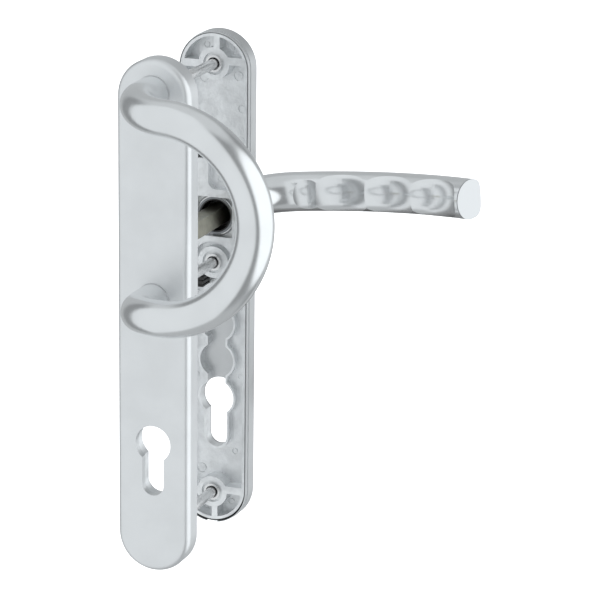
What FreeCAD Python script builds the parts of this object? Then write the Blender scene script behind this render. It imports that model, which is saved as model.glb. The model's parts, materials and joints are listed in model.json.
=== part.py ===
import FreeCAD, Part
import math
import os

# Handle set for a door with a multipoint lock: a fixed bow pull on the outer plate, a turning lever on
# the inner plate. Millimetres. X runs to the lever's side, Y through the door from outside to inside,
# Z up. The origin is where the spindle's axis meets the door's outer face.

V = FreeCAD.Vector

# --- Smooth skins and cuts -------------------------------------------------------------------------
SECTION_POINTS = 24      # control points round each section
CONTROL_SHRINK = (2 + math.cos(2 * math.pi / SECTION_POINTS)) / 3   # skin's radius over its control radius
SKIN_DEGREE = 3
PAST = 1.0               # how far a cutting solid runs past the face it cuts
FLAT = 1e-4              # an edge is level when its ends differ by less than this

# --- Door and plates -------------------------------------------------------------------------------
DOOR = 62.0              # door thickness, the distance between the two plates
PLATE_W = 36.0           # width of both plates
PLATE_TOP = 90.0         # height of the plates' upper end
PLATE_BOTTOM = -155.0    # height of the plates' lower end
OUTER_T = 10.5           # thickness of the outer plate
INNER_T = 12.0           # thickness of the inner plate
EDGE_R = 3.0             # rounding of the covers' visible edge
SEAM = 0.2               # gap between a cover's wall and its base

OUTER_FACE_Y = -OUTER_T
INNER_FACE_Y = DOOR + INNER_T

# --- Fixing screws and posts -----------------------------------------------------------------------
SCREW_Z = (74.5, -22.5, -139.0)     # top, middle and bottom fixing
BOW_SCREWS = 2                      # the first two also hold the bow
SCREW_R = 2.5
SCREW_TIP_Y = 8.0
HEAD_R = 4.4
HEAD_T = 3.0
HEAD_PLAY = 0.4          # room behind a screw's head
CROSS_L = 4.8            # cross recess in a screw's head
CROSS_W = 1.0
CROSS_D = 1.8
POST_R = 4.5
POST_END_Y = 24.0
POST_FLANGE_R = 5.6
POST_FLANGE_T = 2.6
POST_TIP_R = 3.0
POST_TIP_IN = 10.0       # how far a post's tip goes into the bow's neck
POST_BORE_Y = 2.0        # where the threaded bore for the screw starts
WASHER_T = 0.8
THREAD_GAP = 0.05        # radial gap between a thread and its hole, both made plain

# --- Euro-profile opening --------------------------------------------------------------------------
PZ_Z = -92.0             # centre of the profile's round part below the spindle
PZ_R = 8.8
PZ_SLOT_R = 5.4
PZ_HEIGHT = 34.0
PZ_BASE_EXTRA = 1.2      # how much wider the opening is in the outer base

# --- Outer plate -----------------------------------------------------------------------------------
OUTER_WALL = 2.0
OUTER_SKIN = 3.5
OUTER_FLOOR = 2.6        # thickness of the outer base's web
OUTER_RIM = 2.0
OUTER_BOSS_R = 8.0
OUTER_HUB_R = 12.0
OUTER_RIB_T = 2.0
OUTER_RIB_Z = (48.0, 24.0, -52.0, -72.0, -126.0)    # level ribs of the outer base

# --- Bow -------------------------------------------------------------------------------------------
NECK_RING_T = 0.6
NECK_R = 8.0
GRIP_R = 8.6
TENON_R = 5.0
TENON_GAP = 0.1
TENON_ROOT = 0.5         # how far the tenon starts inside the neck
NECK_RING_PROUD = 0.15   # how much wider than the neck its ring is
BOW_TIP_DEPTH = 12.0     # depth of the threaded hole in each neck
BOW_OUT = 34.2           # grip's axis in front of the outer face, at the elbows
BOW_RETURN = 3.4         # how much nearer to the door the axis is at the middle of the grip
BOW_REACH = 62.5         # grip's axis to the side of the spindle's axis
BOW_ELBOW = 22.0         # radius of the elbows
BOW_WAIST_X = 19.0       # where the two arms are closest to parallel
BOW_WAIST = 46.0         # half the distance between the arms there
BOW_MID_Z = (SCREW_Z[0] + SCREW_Z[1]) / 2
BOW_HALF = (SCREW_Z[0] - SCREW_Z[1]) / 2
BOW_ELBOW_STEPS = 8
BOW_ARM_STEPS = 14

# --- Inner plate -----------------------------------------------------------------------------------
INNER_WALL = 0.65
INNER_SEAM = 0.35        # gap between the inner cover's wall and the base
INNER_END_SEAM = 0.8     # how much wider that gap is at the lower end
INNER_SKIN = 1.6         # thickness of the cover's flat room side
STEP_DEPTH = 0.3         # shadow step along the inner cover's door-side edge
STEP_T = 2.6             # width of that step
INNER_RIM = 1.4
INNER_FLOOR_Y = DOOR + 8.2
BASE_BACK_Y = INNER_FACE_Y - INNER_SKIN
CAVITY_R = 1.6           # rounding in the cover's cavity and on the base
BOSS_R = 7.8
BOSS_CUP_R = 5.4
BOSS_CUP_T = 1.6
FERRULE_R = 4.1
FERRULE_BORE_R = 3.1
FERRULE_PROUD = 0.4
FERRULE_L = 5.0
HEAD_POCKET_R = 5.0
HEAD_SEAT_Y = BASE_BACK_Y - HEAD_T - HEAD_PLAY
RIB_W = 3.6
RIB_LEFT = -0.4          # height of the left and right ribs above the boss's middle
RIB_RIGHT = 1.7
WEB_W = 3.0
WEB_X = 1.4              # the upright webs stand a little to the lever's side
LOBE_PITCH = 18.8
LOBE_R = 8.6
LOBE_NECK = 4.6          # half width of the necks between the lobes
LOBE_COUNT = 3
COLLAR_W = 1.0           # raised collar round the lobes and the profile opening
COLLAR_H = 3.0
BLOCK_TOP = 28.4
BLOCK_BOTTOM = -29.0
CUP_R = 10.3             # ring pocket round the middle boss
CUP_FLOOR_Y = DOOR + 4.5
U_LEFT = -2.6            # pocket in the hub block
U_RIGHT = 10.0
U_BOTTOM = 13.4
U_CORNER = 4.0
U_FLOOR_Y = DOOR + 4.0
MARK_W = 0.5             # rings that the mould's ejector pins leave in the casting
MARK_D = 0.4
FLOOR_MARKS = (          # X, Z and radius of each ring in the tray's floor
    (-6.6, 81.8, 1.6), (8.6, 80.8, 1.6), (-8.1, 65.8, 2.3), (9.5, 67.8, 2.4), (11.4, 52.0, 2.0),
    (-10.4, 48.0, 1.6), (11.0, 36.5, 2.0), (-10.8, -38.0, 1.6), (11.4, -38.0, 1.6), (-11.4, -82.1, 1.4),
    (11.4, -81.0, 1.4), (9.0, -119.5, 1.6), (-8.7, -130.2, 2.6), (7.2, -145.6, 1.7), (-7.2, -145.6, 1.7))
POCKET_MARK = (2.4, 18.0, 1.6)      # the same in the hub block's pocket
NOTCH_W = 5.5            # notch in the cover's lower end
NOTCH_D = 1.6
NOTCH_H = 3.0

# --- Hub, spring and spindle -----------------------------------------------------------------------
LEVER_TILT = 4.5         # the springs hold the lever this far above level, in degrees
HUB_SQUARE = 19.4
HUB_FLOOR_Y = DOOR + 4.5
SPRING_ROOM_R = 12.4
SPRING_ROOM_Y = HUB_FLOOR_Y + 1.0
DRIVER_ROOM_R = 16.4
BUSH_R = 10.4
BUSH_T = 3.6
BUSH_HOLE_Y = DOOR + 3.0
STEM_R = 9.2
STEM_BORE_R = 8.2
STEM_START_Y = DOOR + 2.6
RUN = 0.05               # radial running clearance
RING_T = 0.9
RING_GROOVE = 0.4
RING_R = 9.6
RING_GAP_W = 4.0
RING_Y = STEM_START_Y + 0.7         # where the retaining ring sits
SPRING_WIRE = 1.3
SPRING_R = 11.5
SPRING_LEG_SHORT = 0.2   # how far the spring's legs end below the driver's face
SPRING_LEG = 18.0        # half angle between the spring's legs, in degrees
DRIVER_T = 1.6
DRIVER_R = 10.5
DRIVER_ARM_R = 14.5
DRIVER_HALF = 12.0       # half angle of the driver's arm, in degrees
DRIVER_Y = BASE_BACK_Y - 1.8
DRIVER_PLAY = 0.2
DRIVER_ROOM_Y = DRIVER_Y - DRIVER_PLAY
LINER_R = 8.1            # dark sleeve that lines the stem's bore
LINER_WALL = 0.5
LINER_END_T = 0.8
LINER_IN = 0.3           # how far inside the stem's end the sleeve starts
LIFT_LIMIT = 40.0        # lever's travel up, in degrees
PRESS_LIMIT = 50.0       # lever's travel down, in degrees
STOP_R = 1.2
STOP_RADIUS = 15.0
STOP_PLAY = 6.5          # angle that half a stop pin takes, with its play, in degrees
GUIDE_R = 10.6
GUIDE_FLANGE_R = 11.6
GUIDE_FLANGE_T = 0.9
GUIDE_PLAY = 0.1         # between the guide ring and the base behind it
GUIDE_ROOT = 0.3         # how far the sleeve runs into its flange
SPINDLE = 8.0
SPINDLE_GAP = 0.05
SPINDLE_START_Y = 20.0
SPINDLE_END_Y = 92.0
SPINDLE_CHAMFER = 0.6
SPINDLE_END_PLAY = 0.5
SOCKET_Y = 77.0          # where the stem's bore ends and the square socket starts
GRUB_R = 2.5
GRUB_Y = 84.0
GRUB_SINK = 0.6          # how far the grub screw sits below the stem's surface
GRUB_KEY_R = 1.3
GRUB_KEY_D = 1.9

# --- Lever -----------------------------------------------------------------------------------------
LEVER_NECK_Y = 90.4      # the neck is straight to here
LEVER_BEND_R = 28.0      # radius of the bend at the neck
LEVER_TURN = 79.2        # how far the neck turns before the grip starts, in degrees
LEVER_GRIP_R = 165.0     # radius of the grip's long arc
LEVER_LENGTH = 92.6      # length of the grip's arc
LEVER_H = 19.4           # height of the grip
LEVER_BACK = 8.0         # from the axis to the flat room side
LEVER_CORNER = 0.42      # how square the room side's corners are, from 0, round
LEVER_BLEND = 32.0       # length over which the round neck turns into the grip's section
STEM_STEPS = 6
LEVER_BEND_STEPS = 8
LEVER_GRIP_STEPS = 14
CORNER_FADE = 0.25       # how quickly those corners fade towards the section's sides
HOLLOWS = (              # finger hollows: place along the grip's arc, depth, radius along the grip
    (5.8, 0.9, 20.0), (23.8, 2.4, 33.0), (49.8, 2.4, 33.0), (75.8, 2.4, 33.0))
HOLLOW_HUG = 12.5        # radius of a hollow's floor round the grip

# --- Black plastic blocks --------------------------------------------------------------------------
SPACER_LEFT = -14.6
SPACER_Y = (DOOR - 0.6, INNER_FLOOR_Y)
UPPER_SPACER = (-7.4, BLOCK_TOP, BLOCK_TOP + 8.6)           # right side, bottom and top
LOWER_SPACER = (-5.0, BLOCK_BOTTOM - 6.4, BLOCK_BOTTOM)
SPACER_GROOVES = 3
SPACER_GROOVE = 0.7


# --- Helpers ---------------------------------------------------------------------------------------
def cylinder(r, y0, y1, x=0.0, z=0.0):
    return Part.makeCylinder(r, y1 - y0, V(x, y0, z), V(0, 1, 0))


def box(x0, x1, y0, y1, z0, z1):
    return Part.makeBox(x1 - x0, y1 - y0, z1 - z0, V(x0, y0, z0))


def stadium(width, top, bottom, y0, y1):
    """Upright plate with half-round ends."""
    r = width / 2
    middle = box(-r, r, y0, y1, bottom + r, top - r)
    body = middle.fuse([cylinder(r, y0, y1, z=top - r), cylinder(r, y0, y1, z=bottom + r)])
    return body.removeSplitter()


def inset_plate(inset, y0, y1):
    return stadium(PLATE_W - 2 * inset, PLATE_TOP - inset, PLATE_BOTTOM + inset, y0, y1)


def edges_at(shape, y):
    box_of = [(edge, edge.BoundBox) for edge in shape.Edges]
    return [edge for edge, b in box_of if abs(b.YMin - y) < FLAT and abs(b.YMax - y) < FLAT]


def rounded_at(shape, y, radius):
    return shape.makeFillet(radius, edges_at(shape, y))


def profile_opening(y0, y1, extra=0.0):
    """Euro profile: a round part with a slot below it."""
    slot_r = PZ_SLOT_R + extra
    slot_z = PZ_Z + PZ_R - PZ_HEIGHT + PZ_SLOT_R
    slot = box(-slot_r, slot_r, y0, y1, slot_z, PZ_Z)
    return cylinder(PZ_R + extra, y0, y1, z=PZ_Z).fuse([slot, cylinder(slot_r, y0, y1, z=slot_z)])


def at_angle(radius, degrees):
    """X and Z of a point round the spindle, 0 degrees up, growing the way a pressed lever turns."""
    a = math.radians(degrees)
    return radius * math.sin(a), radius * math.cos(a)


def about_spindle(shape, degrees):
    turned = shape.copy()
    turned.rotate(V(0, 0, 0), V(0, 1, 0), degrees)
    return turned


def tilted(shape):
    return about_spindle(shape, -LEVER_TILT)


def ring(r_in, r_out, y0, y1, x=0.0, z=0.0):
    return cylinder(r_out, y0, y1, x, z).cut(cylinder(r_in, y0 - PAST, y1 + PAST, x, z))


def circle_points(point, radius, side, other):
    """Control points of a circle that starts on the given side."""
    angles = [2 * math.pi * i / SECTION_POINTS for i in range(SECTION_POINTS)]
    reach = radius / CONTROL_SHRINK
    return [point + side * (reach * math.cos(a)) + other * (reach * math.sin(a)) for a in angles]


def skinned(sections):
    """Solid under one smooth cubic skin; the sections are closed rows of control points."""
    across = list(range(len(sections) - SKIN_DEGREE + 1))
    around = list(range(SECTION_POINTS + 1))
    ends = [SKIN_DEGREE + 1] + [1] * (len(across) - 2) + [SKIN_DEGREE + 1]
    surface = Part.BSplineSurface()
    surface.buildFromPolesMultsKnots(sections, ends, [1] * len(around), across, around, False, True,
                                     SKIN_DEGREE, SKIN_DEGREE)
    skin = surface.toShape()
    rims = [edge for edge in skin.Edges if edge.isClosed()]
    caps = [Part.Face(Part.Wire([rim])) for rim in rims]
    shell = Part.makeShell([skin] + caps)
    shell.sewShape()
    solid = Part.makeSolid(shell)
    if solid.Volume < 0:
        solid.reverse()
    return solid


# --- Outer plate -----------------------------------------------------------------------------------
def outer_cover():
    shell = rounded_at(inset_plate(0.0, OUTER_FACE_Y, 0.0), OUTER_FACE_Y, EDGE_R)
    shell = shell.cut(inset_plate(OUTER_WALL, OUTER_FACE_Y + OUTER_SKIN, PAST))
    shell = shell.cut(profile_opening(OUTER_FACE_Y - PAST, PAST))
    for z in SCREW_Z[:BOW_SCREWS]:
        shell = shell.cut(cylinder(TENON_R + TENON_GAP, OUTER_FACE_Y - PAST, PAST, z=z))
    return shell


def outer_base():
    front = OUTER_FACE_Y + OUTER_SKIN
    inset = OUTER_WALL + SEAM
    plate = inset_plate(inset, front, 0.0)
    tray = inset_plate(inset + OUTER_RIM, front + OUTER_FLOOR, PAST)
    keep = [cylinder(OUTER_BOSS_R, front, 0.0, z=z) for z in SCREW_Z]
    keep.append(cylinder(OUTER_HUB_R, front, 0.0))
    keep.append(profile_opening(front, 0.0, PZ_BASE_EXTRA + OUTER_RIM))
    half = PLATE_W / 2 - inset
    for z in OUTER_RIB_Z:
        low, high = z - OUTER_RIB_T / 2, z + OUTER_RIB_T / 2
        keep.append(box(-half + OUTER_RIM / 2, half - OUTER_RIM / 2, front, 0.0, low, high))
    pocket = tray
    for solid in keep:
        pocket = pocket.cut(solid)
    plate = plate.cut(pocket)
    plate = plate.cut(profile_opening(front - PAST, PAST, PZ_BASE_EXTRA))
    for z in SCREW_Z:
        plate = plate.cut(cylinder(POST_TIP_R + THREAD_GAP, front - PAST, PAST, z=z))
        plate = plate.cut(cylinder(POST_FLANGE_R + SEAM, -POST_FLANGE_T - WASHER_T, PAST, z=z))
    return plate


def posts():
    solids = []
    for i, z in enumerate(SCREW_Z):
        held_by_bow = i < BOW_SCREWS
        tip_end = OUTER_FACE_Y + OUTER_SKIN
        if held_by_bow:
            tip_end = OUTER_FACE_Y - NECK_RING_T - POST_TIP_IN
        body = cylinder(POST_TIP_R, tip_end, 0.0, z=z)
        body = body.fuse([cylinder(POST_FLANGE_R, -POST_FLANGE_T, 0.0, z=z),
                          cylinder(POST_R, -POST_FLANGE_T, POST_END_Y, z=z)])
        body = body.cut(cylinder(SCREW_R + THREAD_GAP, POST_BORE_Y, POST_END_Y + PAST, z=z))
        solids.append(body.removeSplitter())
    return Part.makeCompound(solids)


def post_washers():
    low = -POST_FLANGE_T - WASHER_T
    return Part.makeCompound([ring(POST_TIP_R + SEAM, POST_FLANGE_R, low, -POST_FLANGE_T, z=z)
                              for z in SCREW_Z])


# --- Bow -------------------------------------------------------------------------------------------
def bow_half_width(x):
    """Half the distance between the two arms' axes at this reach."""
    if x >= BOW_WAIST_X:
        t = min((x - BOW_WAIST_X) / (BOW_REACH - BOW_WAIST_X), 1.0)
        return BOW_WAIST * math.sqrt(1 - t * t)
    t = (BOW_WAIST_X - x) / BOW_WAIST_X
    return BOW_WAIST + (BOW_HALF - BOW_WAIST) * t * t


def bow_stations():
    """Points on the upper half of the bow's axis with the tube's radius at each."""
    base_y = OUTER_FACE_Y
    stations = [(V(0, base_y - NECK_RING_T, BOW_HALF), NECK_R)]
    stations.append((V(0, base_y - (BOW_OUT - BOW_ELBOW) / 2, BOW_HALF), NECK_R))
    for i in range(BOW_ELBOW_STEPS):
        a = math.pi / 2 * i / BOW_ELBOW_STEPS
        x = BOW_ELBOW * (1 - math.cos(a))
        y = base_y - (BOW_OUT - BOW_ELBOW) - BOW_ELBOW * math.sin(a)
        share = 0.5 * i / BOW_ELBOW_STEPS
        stations.append((V(x, y, bow_half_width(x)), NECK_R + (GRIP_R - NECK_R) * share))
    arm = BOW_REACH - BOW_WAIST_X
    first = math.asin((BOW_ELBOW - BOW_WAIST_X) / arm)
    for i in range(BOW_ARM_STEPS + 1):
        x = BOW_WAIST_X + arm * math.sin(first + (math.pi / 2 - first) * i / BOW_ARM_STEPS)
        u = (x - BOW_ELBOW) / (BOW_REACH - BOW_ELBOW)
        y = base_y - BOW_OUT + BOW_RETURN * u ** 3
        share = 0.5 + 0.5 * u
        stations.append((V(x, y, bow_half_width(x)), NECK_R + (GRIP_R - NECK_R) * share))
    return stations


def bow_axis():
    upper = bow_stations()
    lower = [(V(p.x, p.y, -p.z), r) for p, r in reversed(upper[:-1])]
    return [(V(p.x, p.y, p.z + BOW_MID_Z), r) for p, r in upper + lower]


def bow_handle():
    axis = bow_axis()
    last = len(axis) - 1
    sections = []
    side = V(1, 0, 0)
    for i, (point, radius) in enumerate(axis):
        direction = axis[min(i + 1, last)][0] - axis[max(i - 1, 0)][0]
        if i in (0, last):
            direction = V(0, -1 if i == 0 else 1, 0)
        direction.normalize()
        side = side - direction * side.dot(direction)
        side.normalize()
        sections.append(circle_points(point, radius, side, direction.cross(side)))
    tube = skinned(sections)
    start = OUTER_FACE_Y - NECK_RING_T
    for z in SCREW_Z[:BOW_SCREWS]:
        tube = tube.fuse(cylinder(TENON_R, start - TENON_ROOT, OUTER_FACE_Y + OUTER_SKIN, z=z))
        tube = tube.cut(cylinder(POST_TIP_R + THREAD_GAP, start - BOW_TIP_DEPTH, 0.0, z=z))
    return tube


def bow_neck_rings():
    low = OUTER_FACE_Y - NECK_RING_T
    return Part.makeCompound([ring(TENON_R + TENON_GAP, NECK_R + NECK_RING_PROUD, low, OUTER_FACE_Y, z=z)
                              for z in SCREW_Z[:BOW_SCREWS]])


# --- Inner plate -----------------------------------------------------------------------------------
def inner_cover():
    shell = inset_plate(STEP_DEPTH, DOOR, DOOR + 2 * STEP_T)
    shell = shell.fuse(inset_plate(0.0, DOOR + STEP_T, INNER_FACE_Y)).removeSplitter()
    shell = rounded_at(shell, INNER_FACE_Y, EDGE_R)
    cavity = rounded_at(inset_plate(INNER_WALL, DOOR - PAST, BASE_BACK_Y), BASE_BACK_Y, CAVITY_R)
    shell = shell.cut(cavity)
    shell = shell.cut(profile_opening(DOOR, INNER_FACE_Y + PAST))
    shell = shell.cut(cylinder(GUIDE_R, DOOR, INNER_FACE_Y + PAST))
    low, high = PLATE_BOTTOM - PAST, PLATE_BOTTOM + NOTCH_H
    return shell.cut(box(-NOTCH_W / 2, NOTCH_W / 2, DOOR - PAST, DOOR + NOTCH_D, low, high))


def lobe_chain(y0, y1, extra):
    """Round openings joined by straight necks, from the profile opening upwards."""
    solids = [cylinder(LOBE_R + extra, y0, y1, z=PZ_Z + LOBE_PITCH * i) for i in range(LOBE_COUNT)]
    neck = LOBE_NECK + extra
    solids.append(box(-neck, neck, y0, y1, PZ_Z, PZ_Z + LOBE_PITCH * (LOBE_COUNT - 1)))
    chain = solids[0].fuse(solids[1:])
    return chain.fuse(profile_opening(y0, y1, extra)).removeSplitter()


def end_ribs(boss_z, end_z):
    """A level rib on either side of an end boss and one upright web from it to the plate's end."""
    half = PLATE_W / 2 - INNER_WALL - INNER_SEAM - INNER_RIM / 2
    low, high = sorted((boss_z, end_z))
    ribs = []
    for x0, x1, z in ((-half, 0.0, boss_z + RIB_LEFT), (0.0, half, boss_z + RIB_RIGHT)):
        ribs.append(box(x0, x1, DOOR, INNER_FLOOR_Y + PAST, z - RIB_W / 2, z + RIB_W / 2))
    ribs.append(box(WEB_X - WEB_W / 2, WEB_X + WEB_W / 2, DOOR, INNER_FLOOR_Y + PAST, low, high))
    return ribs


def u_pocket():
    """Pocket in the hub block, open at its top, with round lower corners."""
    low = U_BOTTOM + U_CORNER
    pocket = box(U_LEFT, U_RIGHT, DOOR - PAST, U_FLOOR_Y, low, BLOCK_TOP + PAST)
    left, right = U_LEFT + U_CORNER, U_RIGHT - U_CORNER
    pocket = pocket.fuse(box(left, right, DOOR - PAST, U_FLOOR_Y, U_BOTTOM, low + PAST))
    return pocket.fuse([cylinder(U_CORNER, DOOR - PAST, U_FLOOR_Y, x, low) for x in (left, right)])


def base_outline(inset, y0, y1):
    """The inner base's outline; its lower end stands back a little more than its sides."""
    inset += INNER_WALL + INNER_SEAM
    return stadium(PLATE_W - 2 * inset, PLATE_TOP - inset, PLATE_BOTTOM + inset + INNER_END_SEAM, y0, y1)


def ejector_marks():
    """Shallow rings in the floor of the tray and of the hub block's pocket."""
    places = [(INNER_FLOOR_Y, mark) for mark in FLOOR_MARKS] + [(U_FLOOR_Y, POCKET_MARK)]
    return [ring(r - MARK_W, r, floor - PAST, floor + MARK_D, x, z) for floor, (x, z, r) in places]


def inner_base():
    base = rounded_at(base_outline(0.0, DOOR, BASE_BACK_Y), BASE_BACK_Y, CAVITY_R)
    pocket = base_outline(INNER_RIM, DOOR - PAST, INNER_FLOOR_Y)
    half = PLATE_W / 2
    block = box(-half, half, DOOR - PAST, INNER_FLOOR_Y + PAST, BLOCK_BOTTOM, BLOCK_TOP)
    keep = [block.cut(u_pocket()).cut(cylinder(CUP_R, DOOR - PAST, CUP_FLOOR_Y, z=SCREW_Z[1]))]
    keep.append(lobe_chain(INNER_FLOOR_Y - COLLAR_H, INNER_FLOOR_Y + PAST, COLLAR_W))
    keep += [cylinder(BOSS_R, DOOR - PAST, INNER_FLOOR_Y + PAST, z=z) for z in SCREW_Z]
    keep += end_ribs(SCREW_Z[0], PLATE_TOP) + end_ribs(SCREW_Z[2], PLATE_BOTTOM)
    for solid in keep:
        pocket = pocket.cut(solid)
    base = base.cut(pocket)
    base = base.cut(lobe_chain(DOOR, BASE_BACK_Y + PAST, 0.0))
    base = base.cut(ejector_marks())
    for z in SCREW_Z:
        base = base.cut(cylinder(BOSS_CUP_R, DOOR - PAST, DOOR + BOSS_CUP_T, z=z))
        base = base.cut(cylinder(FERRULE_R, DOOR - PAST, DOOR + FERRULE_L, z=z))
        base = base.cut(cylinder(SCREW_R + SEAM, DOOR - PAST, BASE_BACK_Y + PAST, z=z))
        base = base.cut(cylinder(HEAD_POCKET_R, HEAD_SEAT_Y, BASE_BACK_Y + PAST, z=z))
    side = HUB_SQUARE / 2
    base = base.cut(box(-side, side, DOOR - PAST, HUB_FLOOR_Y, -side, side))
    base = base.cut(cylinder(BUSH_R, BUSH_HOLE_Y, BASE_BACK_Y + PAST))
    base = base.cut(cylinder(SPRING_ROOM_R, SPRING_ROOM_Y, BASE_BACK_Y + PAST))
    base = base.cut(cylinder(DRIVER_ROOM_R, DRIVER_ROOM_Y, BASE_BACK_Y + PAST))
    for x, z in stop_places():
        base = base.cut(cylinder(STOP_R, HUB_FLOOR_Y, BASE_BACK_Y, x, z))
    return base


def ferrules():
    return Part.makeCompound([ring(FERRULE_BORE_R, FERRULE_R, DOOR - FERRULE_PROUD, DOOR + FERRULE_L, z=z)
                              for z in SCREW_Z])


def through_screws():
    solids = []
    for z in SCREW_Z:
        head_end = HEAD_SEAT_Y + HEAD_T
        screw = cylinder(SCREW_R, SCREW_TIP_Y, head_end - HEAD_T / 2, z=z)
        screw = screw.fuse(cylinder(HEAD_R, HEAD_SEAT_Y, head_end, z=z)).removeSplitter()
        for turn in (0, 90):
            slot = box(-CROSS_L / 2, CROSS_L / 2, head_end - CROSS_D, head_end + PAST,
                       -CROSS_W / 2, CROSS_W / 2)
            slot = about_spindle(slot, turn)
            slot.translate(V(0, 0, z))
            screw = screw.cut(slot)
        solids.append(screw)
    return Part.makeCompound(solids)


def spacer(right, z0, z1):
    """Ribbed plastic block that fills the pocket beside the hub block."""
    block = box(SPACER_LEFT, right, SPACER_Y[0], SPACER_Y[1], z0, z1)
    pitch = (z1 - z0) / SPACER_GROOVES
    for i in range(SPACER_GROOVES):
        low = z0 + pitch * (i + 0.5) - SPACER_GROOVE / 2
        high = low + SPACER_GROOVE
        front, back = SPACER_Y[0] - PAST, SPACER_Y[1] - SPACER_GROOVE
        across = box(SPACER_LEFT - PAST, right + PAST, front, SPACER_Y[0] + SPACER_GROOVE, low, high)
        along = box(right - SPACER_GROOVE, right + PAST, front, back, low, high)
        block = block.cut(across).cut(along)
    return block.cut(cylinder(BOSS_R + SEAM, DOOR - PAST, BASE_BACK_Y, z=SCREW_Z[1]))


def upper_spacer():
    return spacer(*UPPER_SPACER)


def lower_spacer():
    return spacer(*LOWER_SPACER)


# --- Hub -------------------------------------------------------------------------------------------
def stop_places():
    angles = (-LIFT_LIMIT - DRIVER_HALF - STOP_PLAY, PRESS_LIMIT + DRIVER_HALF + STOP_PLAY)
    return [at_angle(STOP_RADIUS, a - LEVER_TILT) for a in angles]


def stop_pins():
    return Part.makeCompound([cylinder(STOP_R, HUB_FLOOR_Y, BASE_BACK_Y, x, z) for x, z in stop_places()])


def bearing_bush():
    return ring(STEM_R + RUN, BUSH_R, HUB_FLOOR_Y, HUB_FLOOR_Y + BUSH_T)


def guide_ring():
    sleeve = ring(STEM_R + RUN, GUIDE_R, BASE_BACK_Y + GUIDE_PLAY, INNER_FACE_Y + GUIDE_ROOT)
    flange = ring(STEM_R + RUN, GUIDE_FLANGE_R, INNER_FACE_Y, INNER_FACE_Y + GUIDE_FLANGE_T)
    return sleeve.fuse(flange).removeSplitter()


def return_spring():
    """Torsion spring round the bush: one flat turn with two upright legs beside the driver's arm."""
    y0 = HUB_FLOOR_Y + BUSH_T - SPRING_WIRE * 2
    coil = ring(SPRING_R - SPRING_WIRE / 2, SPRING_R + SPRING_WIRE / 2, y0, y0 + SPRING_WIRE)
    legs = []
    for side in (-1, 1):
        x, z = at_angle(SPRING_R, side * SPRING_LEG - LEVER_TILT)
        legs.append(cylinder(SPRING_WIRE / 2, y0, DRIVER_Y + DRIVER_T - SPRING_LEG_SHORT, x, z))
    return coil.fuse(legs)


def return_driver():
    y1 = DRIVER_Y + DRIVER_T
    disc = cylinder(DRIVER_R, DRIVER_Y, y1)
    rim = cylinder(DRIVER_ARM_R, DRIVER_Y, y1)
    left = at_angle(2 * DRIVER_ARM_R, -DRIVER_HALF)
    right = at_angle(2 * DRIVER_ARM_R, DRIVER_HALF)
    corners = [V(0, DRIVER_Y, 0), V(left[0], DRIVER_Y, left[1]), V(right[0], DRIVER_Y, right[1])]
    wedge = Part.Face(Part.makePolygon(corners + corners[:1])).extrude(V(0, DRIVER_T, 0))
    driver = disc.fuse(rim.common(wedge)).cut(cylinder(STEM_R, DRIVER_Y - PAST, y1 + PAST))
    return tilted(driver.removeSplitter())


def retaining_ring():
    body = ring(STEM_R - RING_GROOVE, RING_R, RING_Y, RING_Y + RING_T)
    gap = box(-RING_GAP_W / 2, RING_GAP_W / 2, RING_Y - PAST, RING_Y + RING_T + PAST, -RING_R - PAST, 0.0)
    return tilted(body.cut(gap))


def stem_liner():
    """Dark sleeve in the stem's bore, closed round the spindle at its inner end."""
    start = STEM_START_Y + LINER_IN
    sleeve = ring(LINER_R - LINER_WALL, LINER_R, start, SOCKET_Y)
    end = cylinder(LINER_R, SOCKET_Y - LINER_END_T, SOCKET_Y)
    s = SPINDLE / 2 + SPINDLE_GAP
    end = end.cut(box(-s, s, start, SOCKET_Y + PAST, -s, s))
    return tilted(sleeve.fuse(end).removeSplitter())


def square_spindle():
    s = SPINDLE / 2
    bar = box(-s, s, SPINDLE_START_Y, SPINDLE_END_Y, -s, s)
    ends = [edge for edge in bar.Edges if edge.BoundBox.YLength < FLAT]
    return tilted(bar.makeChamfer(SPINDLE_CHAMFER, ends))


def grub_screw():
    face_z = GRUB_SINK - STEM_R
    screw = Part.makeCylinder(GRUB_R, -face_z - SPINDLE / 2, V(0, GRUB_Y, face_z), V(0, 0, 1))
    key = Part.makeCylinder(GRUB_KEY_R, GRUB_KEY_D + PAST, V(0, GRUB_Y, face_z - PAST), V(0, 0, 1))
    return tilted(screw.cut(key))


# --- Lever -----------------------------------------------------------------------------------------
def lever_axis():
    """Points, headings and lengths along the lever's axis; heading 0 points away from the door."""
    stations = []
    centre_x = LEVER_BEND_R
    for i in range(LEVER_BEND_STEPS):
        a = LEVER_TURN * i / LEVER_BEND_STEPS
        t = math.radians(a)
        point = (centre_x - LEVER_BEND_R * math.cos(t), LEVER_NECK_Y + LEVER_BEND_R * math.sin(t))
        stations.append((point, a, LEVER_BEND_R * t))
    t = math.radians(LEVER_TURN)
    start = (centre_x - LEVER_BEND_R * math.cos(t), LEVER_NECK_Y + LEVER_BEND_R * math.sin(t))
    bend_length = LEVER_BEND_R * t
    sweep = math.degrees(LEVER_LENGTH / LEVER_GRIP_R)
    for i in range(LEVER_GRIP_STEPS + 1):
        a = LEVER_TURN + sweep * i / LEVER_GRIP_STEPS
        stations.append((on_grip(start, a), a, bend_length + LEVER_LENGTH * i / LEVER_GRIP_STEPS))
    return stations


def on_grip(start, heading):
    """Point of the grip's arc where the axis has this heading."""
    t0 = math.radians(LEVER_TURN)
    t1 = math.radians(heading)
    x = start[0] + LEVER_GRIP_R * (math.cos(t0) - math.cos(t1))
    y = start[1] + LEVER_GRIP_R * (math.sin(t1) - math.sin(t0))
    return x, y


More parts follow.
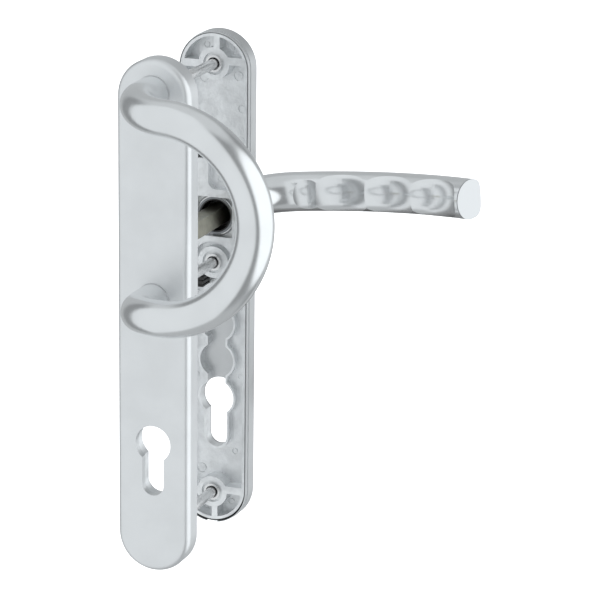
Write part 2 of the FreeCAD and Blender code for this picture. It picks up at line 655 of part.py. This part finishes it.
def lever_section(point, heading, length):
    """Closed section: round on the door side, flat with round corners on the room side."""
    blend = min(length / LEVER_BLEND, 1.0)
    blend = blend * blend * (3 - 2 * blend)
    h = math.radians(heading)
    out = V(-math.cos(h), math.sin(h), 0)
    half = STEM_R + (LEVER_H / 2 - STEM_R) * blend
    points = []
    for i in range(SECTION_POINTS):
        a = 2 * math.pi * i / SECTION_POINTS
        c, s = math.cos(a), math.sin(a)
        power = 1.0 - LEVER_CORNER * blend * max(c, 0.0) ** CORNER_FADE
        u = (abs(c) ** power) * (1 if c > 0 else -1) / CONTROL_SHRINK
        w = (abs(s) ** power) * (1 if s > 0 else -1) / CONTROL_SHRINK
        depth = half + (LEVER_BACK - half) * blend if u > 0 else half
        points.append(V(point[0], point[1], 0) + out * (depth * u) + V(0, 0, half * w))
    return points


def hollow_cutter(point, heading, depth, radius):
    """Waisted roller that leaves a saddle: hollow along the grip, round across it."""
    h = math.radians(heading)
    away = V(math.cos(h), -math.sin(h), 0)
    centre = V(point[0], point[1], 0) + away * (LEVER_H / 2 - depth + radius)
    reach = V(0, 0, LEVER_H / 2 + STEP_DEPTH)
    sag = HOLLOW_HUG - math.sqrt(HOLLOW_HUG ** 2 - reach.z ** 2)
    waist = centre - away * radius
    low = waist - away * sag - reach
    high = waist - away * sag + reach
    sides = [Part.makeLine(centre - reach, low), Part.Arc(low, waist, high).toShape(),
             Part.makeLine(high, centre + reach), Part.makeLine(centre + reach, centre - reach)]
    return Part.Face(Part.Wire(sides)).revolve(centre, V(0, 0, 1), 360)


def lever_body():
    """Stem, bend and grip under one skin."""
    stem_length = LEVER_NECK_Y - STEM_START_Y
    sections = []
    for i in range(STEM_STEPS):
        centre = V(0, STEM_START_Y + stem_length * i / STEM_STEPS, 0)
        sections.append(circle_points(centre, STEM_R, V(-1, 0, 0), V(0, 0, 1)))
    sections += [lever_section(point, heading, length) for point, heading, length in lever_axis()]
    return skinned(sections)


def lever_handle():
    lever = lever_body()
    lever = lever.cut(cylinder(STEM_BORE_R, STEM_START_Y - PAST, SOCKET_Y))
    s = SPINDLE / 2 + SPINDLE_GAP
    lever = lever.cut(box(-s, s, SOCKET_Y - PAST, SPINDLE_END_Y + SPINDLE_END_PLAY, -s, s))
    low = -STEM_R - PAST
    lever = lever.cut(Part.makeCylinder(GRUB_R + THREAD_GAP, -low, V(0, GRUB_Y, low), V(0, 0, 1)))
    lever = lever.cut(ring(STEM_R - RING_GROOVE, STEM_R + PAST, RING_Y, RING_Y + RING_T))
    start = lever_axis()[LEVER_BEND_STEPS][0]
    for along, depth, radius in HOLLOWS:
        heading = LEVER_TURN + math.degrees(along / LEVER_GRIP_R)
        lever = lever.cut(hollow_cutter(on_grip(start, heading), heading, depth, radius))
    return tilted(lever)


# --- Export ----------------------------------------------------------------------------------------
PARTS = {
    "outer_cover": outer_cover,
    "outer_base": outer_base,
    "threaded_posts": posts,
    "post_lock_washers": post_washers,
    "bow_handle": bow_handle,
    "bow_neck_rings": bow_neck_rings,
    "inner_cover": inner_cover,
    "inner_base": inner_base,
    "screw_ferrules": ferrules,
    "through_screws": through_screws,
    "upper_spacer": upper_spacer,
    "lower_spacer": lower_spacer,
    "stop_pins": stop_pins,
    "bearing_bush": bearing_bush,
    "cover_guide_ring": guide_ring,
    "return_spring": return_spring,
    "return_driver": return_driver,
    "retaining_ring": retaining_ring,
    "stem_liner": stem_liner,
    "square_spindle": square_spindle,
    "grub_screw": grub_screw,
    "lever_handle": lever_handle,
}

os.makedirs("parts", exist_ok=True)
for node, make in PARTS.items():
    shape = make()
    shape.exportStep("parts/" + node + ".step")
    print(node, "valid", shape.isValid(), "solids", len(shape.Solids), "volume", round(shape.Volume, 1))
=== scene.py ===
import json
import math

import bpy
from mathutils import Matrix, Vector


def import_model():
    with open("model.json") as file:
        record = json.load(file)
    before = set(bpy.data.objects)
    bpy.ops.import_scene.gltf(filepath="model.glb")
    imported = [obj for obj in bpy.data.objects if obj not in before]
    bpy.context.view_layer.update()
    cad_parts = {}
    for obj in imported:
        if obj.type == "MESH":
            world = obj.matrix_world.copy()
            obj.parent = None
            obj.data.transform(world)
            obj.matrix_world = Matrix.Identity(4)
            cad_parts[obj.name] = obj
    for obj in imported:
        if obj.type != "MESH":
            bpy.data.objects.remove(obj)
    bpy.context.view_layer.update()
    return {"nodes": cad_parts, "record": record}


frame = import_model()

# Metres. The frame is the CAD's: X to the lever's side, Y through the door from outside to inside, Z up.
MM = 0.001
NODES = frame["nodes"]
WHITE = (1.0, 1.0, 1.0)
COOL = (0.985, 1.0, 1.01)      # tint of the anodised aluminium

# The lever's end: where it points, and where its colour and finish change, with a painted shade on the rim
# of the end face.
LEVER_END_HEADING = 111.36     # direction that the lever's end points in, degrees from +Y towards +X
LEVER_TILT = 4.5               # how far the lever stands above level at rest, degrees
EDGE_SHADE_START, EDGE_SHADE_FULL = 0.55 * MM, 0.45 * MM      # back from the end face
FACE_START, FACE_FULL = 0.12 * MM, 0.03 * MM      # back from the end face
STEM_START, STEM_FULL = 0.3 * MM, 0.1 * MM        # back from the end of the stem
# Dark colour of the painted shade on the rim of the end face; the stem's dark end takes it too.
EDGE_SHADE_AND_STEM_LOOK = {"Base Color": (0.26, 0.27, 0.28, 1), "Roughness": 0.35}
FACE_LOOK = {"Base Color": (0.74, 0.75, 0.76, 1), "Roughness": 0.5}

# The noise texture's values lie mostly between these, so they are spread to the full range.
NOISE_LOW, NOISE_HIGH = 0.3, 0.7
RAMP_START, RAMP_END = 0.35, 0.65
GRAIN_STRENGTH = 0.25

FLOOR_SIZE = 40
FLOOR_Z = -0.60
FLOOR_GREY = (0.9, 0.9, 0.9, 1)
FLOOR_ROUGHNESS = 0.9

# Card below and behind the lever, out of its sweep, seen only in reflections.
CARD_PLACE = (0.020, 0.195, -0.110)
CARD_SIZE = (0.09, 0.15)
CARD_RIM, CARD_CORE = 0.30, 0.06                  # brightness at the rim and at the middle
CARD_REACH = 0.5                                  # from the middle to the rim, in the card's own units

# The sky. Each panel has a centre and a half size in azimuth and in elevation, a brightness and the width
# of its soft edge. Azimuth 0 is in front of the door, 90 is at the lever's side, 180 is behind. Degrees.
SKY_TINT = (0.965, 1.0, 1.02)
WALLS = 0.30
PANELS = (
    ((-155, 36), (0, 95), 0.52, 10.0),            # behind, away from the lever's side
    ((172, 18), (0, 95), 0.45, 10.0),             # straight behind
    ((160, 16), (-20, 26), 0.60, 10.0),           # behind and low
    ((0, 181), (90, 42), 0.68, 16),               # overhead
    ((0, 181), (-90, 34), 0.52, 16),              # underfoot
    ((-31, 58), (8, 72), 0.86, 10.0),             # in front, away from the lever's side
)
SOFTBOX = ((98, 52), (-3, 44), 1.25)              # oval, at the lever's side
SOFTBOX_EDGE = 0.2                                # as a share of its size

# The fitted camera.
VIEW_FROM = (20.642, 16.045, 0.713)               # azimuth, elevation and roll, degrees
VIEW_TARGET = Vector((58.98, 24.54, -24.78)) * MM
VIEW_DISTANCE = 1.41933
LENS, SENSOR = 184.18, 36                         # millimetres
CLIP_START, CLIP_END = 0.05, 100


# --- Materials ---------------------------------------------------------------------------------------
def new_material(name):
    material = bpy.data.materials.new(name)
    material.use_nodes = True
    nodes = material.node_tree.nodes
    return material, nodes, material.node_tree.links, nodes["Principled BSDF"]


def noise(nodes, links, scale, detail, stretch=(1, 1, 1)):
    """Noise in the object's own coordinates; scale is in features per metre."""
    where = nodes.new("ShaderNodeTexCoord")
    mapping = nodes.new("ShaderNodeMapping")
    mapping.inputs["Scale"].default_value = stretch
    texture = nodes.new("ShaderNodeTexNoise")
    texture.inputs["Scale"].default_value = scale
    texture.inputs["Detail"].default_value = detail
    links.new(where.outputs["Object"], mapping.inputs["Vector"])
    links.new(mapping.outputs["Vector"], texture.inputs["Vector"])
    return texture.outputs["Fac"]


def ramp(nodes, links, source, low, high):
    """The source's range as a colour between low and high."""
    node = nodes.new("ShaderNodeValToRGB")
    node.color_ramp.elements[0].position = RAMP_START
    node.color_ramp.elements[1].position = RAMP_END
    node.color_ramp.elements[0].color = (*low, 1)
    node.color_ramp.elements[1].color = (*high, 1)
    links.new(source, node.inputs["Fac"])
    return node.outputs["Color"]


def spread(nodes, links, source, low, high):
    """The source's range as a number between low and high."""
    node = nodes.new("ShaderNodeMapRange")
    node.inputs["From Min"].default_value = NOISE_LOW
    node.inputs["From Max"].default_value = NOISE_HIGH
    node.inputs["To Min"].default_value = low
    node.inputs["To Max"].default_value = high
    links.new(source, node.inputs["Value"])
    return node.outputs["Result"]


def bump(nodes, links, height, strength, distance, below=None):
    """Relief of the given height in metres, on top of the relief below it."""
    node = nodes.new("ShaderNodeBump")
    node.inputs["Strength"].default_value = strength
    node.inputs["Distance"].default_value = distance
    links.new(height, node.inputs["Height"])
    if below is not None:
        links.new(below, node.inputs["Normal"])
    return node.outputs["Normal"]


def grey(value, tint=WHITE):
    return tuple(value * t for t in tint)


def metal(name, low, high, roughness, tint=WHITE, grain=2500, grain_depth=0.004, patch=60,
          rough_spread=0.05):
    """Metal with a fine grain, slight clouding and an uneven gloss. The grain's depth is in millimetres."""
    material, nodes, links, shader = new_material(name)
    clouds = noise(nodes, links, patch, detail=4)
    fine = noise(nodes, links, grain, detail=2)
    links.new(ramp(nodes, links, clouds, grey(low, tint), grey(high, tint)), shader.inputs["Base Color"])
    links.new(spread(nodes, links, fine, roughness - rough_spread, roughness + rough_spread),
              shader.inputs["Roughness"])
    links.new(bump(nodes, links, fine, GRAIN_STRENGTH, grain_depth * MM), shader.inputs["Normal"])
    shader.inputs["Metallic"].default_value = 1.0
    return material


def beyond(nodes, links, distance, start, stop):
    """0 where distance is under start, 1 where it is over stop."""
    node = nodes.new("ShaderNodeMapRange")
    node.inputs["From Min"].default_value = start
    node.inputs["From Max"].default_value = stop
    links.new(distance, node.inputs["Value"])
    return node.outputs["Result"]


def blended(nodes, links, source, mask, value):
    """The source, replaced by a constant colour or number where the mask is 1."""
    node = nodes.new("ShaderNodeMix")
    node.data_type = "FLOAT" if isinstance(value, float) else "RGBA"
    first, second = [socket for socket in node.inputs if socket.enabled and socket.name in ("A", "B")]
    second.default_value = value
    links.new(mask, node.inputs[0])
    links.new(source, first)
    return [socket for socket in node.outputs if socket.enabled][0]


def lever_aluminium():
    """Satin aluminium with a dull face and a painted shade on the rim at the grip's end, and a dark end on
    the stem.
    """
    material = metal("lever_aluminium", 0.80, 0.84, 0.20, COOL, rough_spread=0.03)
    nodes, links = material.node_tree.nodes, material.node_tree.links
    shader = nodes["Principled BSDF"]
    heading, tilt = math.radians(LEVER_END_HEADING), math.radians(LEVER_TILT)
    axis = Vector((math.sin(heading) * math.cos(tilt),
                   math.cos(heading),
                   math.sin(heading) * math.sin(tilt)))
    end = max(axis.dot(vertex.co) for vertex in NODES["lever_handle"].data.vertices)
    where = nodes.new("ShaderNodeTexCoord")
    along = nodes.new("ShaderNodeVectorMath")
    along.operation = "DOT_PRODUCT"
    along.inputs[1].default_value = axis
    links.new(where.outputs["Object"], along.inputs[0])
    # Painted shade: a dark band on the rim of the end face, standing in for the shade on a small rounded
    # rim.
    edge = beyond(nodes, links, along.outputs["Value"], end - EDGE_SHADE_START, end - EDGE_SHADE_FULL)
    face = beyond(nodes, links, along.outputs["Value"], end - FACE_START, end - FACE_FULL)
    split = nodes.new("ShaderNodeSeparateXYZ")
    links.new(where.outputs["Object"], split.inputs["Vector"])
    stem_end = min(vertex.co.y for vertex in NODES["lever_handle"].data.vertices)
    stem = beyond(nodes, links, split.outputs["Y"], stem_end + STEM_START, stem_end + STEM_FULL)
    for socket, on_edge in EDGE_SHADE_AND_STEM_LOOK.items():
        source = shader.inputs[socket].links[0].from_socket
        source = blended(nodes, links, source, stem, on_edge)
        source = blended(nodes, links, source, edge, on_edge)
        links.new(blended(nodes, links, source, face, FACE_LOOK[socket]), shader.inputs[socket])
    return material


def cast_zinc():
    """Raw casting: cloudy and pale, with flow lines and a coarse skin."""
    material, nodes, links, shader = new_material("cast_zinc")
    clouds = noise(nodes, links, 160, detail=6)
    flow = noise(nodes, links, 220, detail=6, stretch=(1.0, 1.0, 0.35))
    skin = noise(nodes, links, 650, detail=4)
    fine = noise(nodes, links, 3500, detail=2)
    links.new(ramp(nodes, links, clouds, grey(0.82, COOL), grey(0.96, COOL)), shader.inputs["Base Color"])
    links.new(spread(nodes, links, skin, 0.34, 0.50), shader.inputs["Roughness"])
    low = bump(nodes, links, flow, strength=0.45, distance=0.16 * MM)
    mid = bump(nodes, links, skin, strength=0.90, distance=0.22 * MM, below=low)
    top = bump(nodes, links, fine, strength=0.25, distance=0.008 * MM, below=mid)
    links.new(top, shader.inputs["Normal"])
    shader.inputs["Metallic"].default_value = 0.90
    return material


def plastic(name, low, high, roughness, rough_spread=0.06):
    """Moulded plastic with slight clouding and a fine, uneven skin."""
    material, nodes, links, shader = new_material(name)
    clouds = noise(nodes, links, 400, detail=3)
    fine = noise(nodes, links, 4000, detail=2)
    links.new(ramp(nodes, links, clouds, low, high), shader.inputs["Base Color"])
    links.new(spread(nodes, links, fine, roughness - rough_spread, roughness + rough_spread),
              shader.inputs["Roughness"])
    links.new(bump(nodes, links, fine, strength=0.2, distance=0.01 * MM), shader.inputs["Normal"])
    return material


SLOTS = {
    "satin_aluminium": metal("satin_aluminium", 0.80, 0.84, 0.22, COOL, rough_spread=0.03),
    "satin_sheet": metal("satin_sheet", 0.78, 0.82, 0.40, COOL, rough_spread=0.04),
    "cast_zinc": cast_zinc(),
    "zinc_plated_steel": metal("zinc_plated_steel", 0.84, 0.93, 0.30, grain=1800, grain_depth=0.006),
    "bright_steel": metal("bright_steel", 0.74, 0.82, 0.20, grain=1800),
    "spring_steel": metal("spring_steel", 0.30, 0.42, 0.34, (1.0, 0.99, 0.97), 1500, 0.006),
    "chromated_steel": metal("chromated_steel", 0.30, 0.44, 0.34, (1.0, 0.97, 0.80), 1200, 0.01, 120),
    "black_steel": metal("black_steel", 0.05, 0.09, 0.36, grain=1500, grain_depth=0.006),
    "black_plastic": plastic("black_plastic", grey(0.016), grey(0.03), 0.42),
    "grey_plastic": plastic("grey_plastic", (0.50, 0.51, 0.52), (0.58, 0.59, 0.60), 0.40),
}


def dress_nodes():
    """Every CAD node takes its slot's finish, except the lever, which has its own, and the inner cover,
    which takes a darker satin sheet as painted shade.
    """
    for part in frame["record"]["subparts"]:
        data = NODES[part["node"]].data
        data.materials.clear()
        data.materials.append(SLOTS[part["material_slot"]])
    NODES["lever_handle"].data.materials[0] = lever_aluminium()
    # Inner cover: the satin sheet made darker, as painted shade.
    NODES["inner_cover"].data.materials[0] = metal("inner_sheet_painted_shade", 0.66, 0.70, 0.40, COOL, rough_spread=0.04)


# --- Light, floor and camera -------------------------------------------------------------------------
def floor():
    """White floor that only the camera sees, so that the object keeps the studio's reflections."""
    bpy.ops.mesh.primitive_plane_add(size=FLOOR_SIZE, location=(0, 0, FLOOR_Z))
    plane = bpy.context.object
    plane.name = "studio_floor"
    material, _, _, shader = new_material("studio_floor")
    shader.inputs["Base Color"].default_value = FLOOR_GREY
    shader.inputs["Roughness"].default_value = FLOOR_ROUGHNESS
    shader.inputs["Emission Color"].default_value = (*WHITE, 1)
    shader.inputs["Emission Strength"].default_value = 1.0
    plane.data.materials.append(material)
    plane.visible_glossy = False
    plane.visible_diffuse = False
    plane.visible_transmission = False
    plane.visible_shadow = False


class Sky:
    """Studio walls as a brightness for each direction that a surface reflects."""

    def __init__(self):
        world = bpy.data.worlds.new("studio")
        bpy.context.scene.world = world
        world.use_nodes = True
        self.nodes = world.node_tree.nodes
        self.links = world.node_tree.links
        self.background = self.nodes["Background"]
        where = self.nodes.new("ShaderNodeTexCoord")
        split = self.nodes.new("ShaderNodeSeparateXYZ")
        self.links.new(where.outputs["Generated"], split.inputs["Vector"])
        x, y, z = (split.outputs[axis] for axis in "XYZ")
        self.azimuth = self.math("ARCTAN2", x, self.math("MULTIPLY", y, -1.0))
        self.elevation = self.math("ARCSINE", z)
        self.light = None

    def math(self, operation, *values):
        node = self.nodes.new("ShaderNodeMath")
        node.operation = operation
        for socket, value in zip(node.inputs, values):
            if isinstance(value, (int, float)):
                socket.default_value = value
            else:
                self.links.new(value, socket)
        return node.outputs["Value"]

    def fade(self, value, full, none):
        """1 where value is under full, 0 where it is over none."""
        node = self.nodes.new("ShaderNodeMapRange")
        node.interpolation_type = "SMOOTHSTEP"
        node.inputs["From Min"].default_value = full
        node.inputs["From Max"].default_value = none
        node.inputs["To Min"].default_value = 1.0
        node.inputs["To Max"].default_value = 0.0
        self.links.new(value, node.inputs["Value"])
        return node.outputs["Result"]

    def away(self, value, centre):
        """How far an angle is from a centre in degrees, either way round."""
        turned = self.math("SUBTRACT", value, math.radians(centre))
        return self.math("ABSOLUTE", self.math("WRAP", turned, math.pi, -math.pi))

    def panel(self, azimuth, elevation, light, soft):
        """Panel with straight edges."""
        masks = []
        for value, (centre, half) in ((self.azimuth, azimuth), (self.elevation, elevation)):
            full, none = math.radians(half - soft / 2), math.radians(half + soft / 2)
            masks.append(self.fade(self.away(value, centre), full, none))
        self.cover(self.math("MULTIPLY", *masks), light)

    def disc(self, azimuth, elevation, light, soft):
        """Oval panel, whose soft edge is a share of its size."""
        shares = []
        for value, (centre, half) in ((self.azimuth, azimuth), (self.elevation, elevation)):
            share = self.math("DIVIDE", self.away(value, centre), math.radians(half))
            shares.append(self.math("POWER", share, 2.0))
        self.cover(self.fade(self.math("ADD", *shares), 1 - soft, 1 + soft), light)

    def cover(self, mask, light):
        """Lay a brightness over what is there, where the mask is 1."""
        blend = self.nodes.new("ShaderNodeMix")
        blend.data_type = "FLOAT"
        self.links.new(mask, blend.inputs["Factor"])
        self.links.new(self.light, blend.inputs["A"])
        blend.inputs["B"].default_value = light
        self.light = blend.outputs["Result"]

    def walls(self, light):
        self.light = self.math("ADD", light, 0.0)

    def finish(self, tint):
        self.background.inputs["Color"].default_value = (*tint, 1)
        self.links.new(self.light, self.background.inputs["Strength"])


def card_below_lever():
    """Small card that is seen only in reflections, darker in the middle than at the rim."""
    bpy.ops.mesh.primitive_plane_add(size=1, location=CARD_PLACE)
    sheet = bpy.context.object
    sheet.name = "card_below_lever"
    sheet.scale = (*CARD_SIZE, 1.0)
    material, nodes, links, shader = new_material("card_below_lever")
    shader.inputs["Base Color"].default_value = (0, 0, 0, 1)
    shader.inputs["Specular IOR Level"].default_value = 0.0
    shader.inputs["Emission Color"].default_value = (*COOL, 1)
    where = nodes.new("ShaderNodeTexCoord")
    reach = nodes.new("ShaderNodeVectorMath")
    reach.operation = "LENGTH"
    links.new(where.outputs["Object"], reach.inputs[0])
    glow = nodes.new("ShaderNodeMapRange")
    glow.interpolation_type = "SMOOTHSTEP"
    glow.inputs["From Max"].default_value = CARD_REACH
    glow.inputs["To Min"].default_value = CARD_CORE
    glow.inputs["To Max"].default_value = CARD_RIM
    links.new(reach.outputs["Value"], glow.inputs["Value"])
    links.new(glow.outputs["Result"], shader.inputs["Emission Strength"])
    sheet.data.materials.append(material)
    sheet.visible_camera = False
    sheet.visible_diffuse = False
    sheet.visible_transmission = False
    sheet.visible_shadow = False


def world():
    sky = Sky()
    sky.walls(WALLS)
    for azimuth, elevation, light, soft in PANELS:
        sky.panel(azimuth, elevation, light, soft)
    sky.disc(*SOFTBOX, SOFTBOX_EDGE)
    sky.finish(SKY_TINT)


def camera():
    """The camera on its place, with its three axes from the direction that it looks from and its roll."""
    azimuth, elevation, roll = (math.radians(angle) for angle in VIEW_FROM)
    back = Vector((math.sin(azimuth) * math.cos(elevation), -math.cos(azimuth) * math.cos(elevation),
                   math.sin(elevation)))
    right = Vector((math.cos(azimuth), math.sin(azimuth), 0))
    up = back.cross(right)
    side = right * math.cos(roll) + up * math.sin(roll)
    top = up * math.cos(roll) - right * math.sin(roll)
    data = bpy.data.cameras.new("camera")
    data.sensor_width = SENSOR
    data.lens = LENS
    data.clip_start = CLIP_START
    data.clip_end = CLIP_END
    view = bpy.data.objects.new("camera", data)
    turned = Matrix((side, top, back)).transposed().to_4x4()
    view.matrix_world = Matrix.Translation(VIEW_TARGET + back * VIEW_DISTANCE) @ turned
    bpy.context.scene.collection.objects.link(view)
    bpy.context.scene.camera = view


dress_nodes()
floor()
card_below_lever()
world()
camera()
bpy.context.scene.view_settings.view_transform = "Standard"
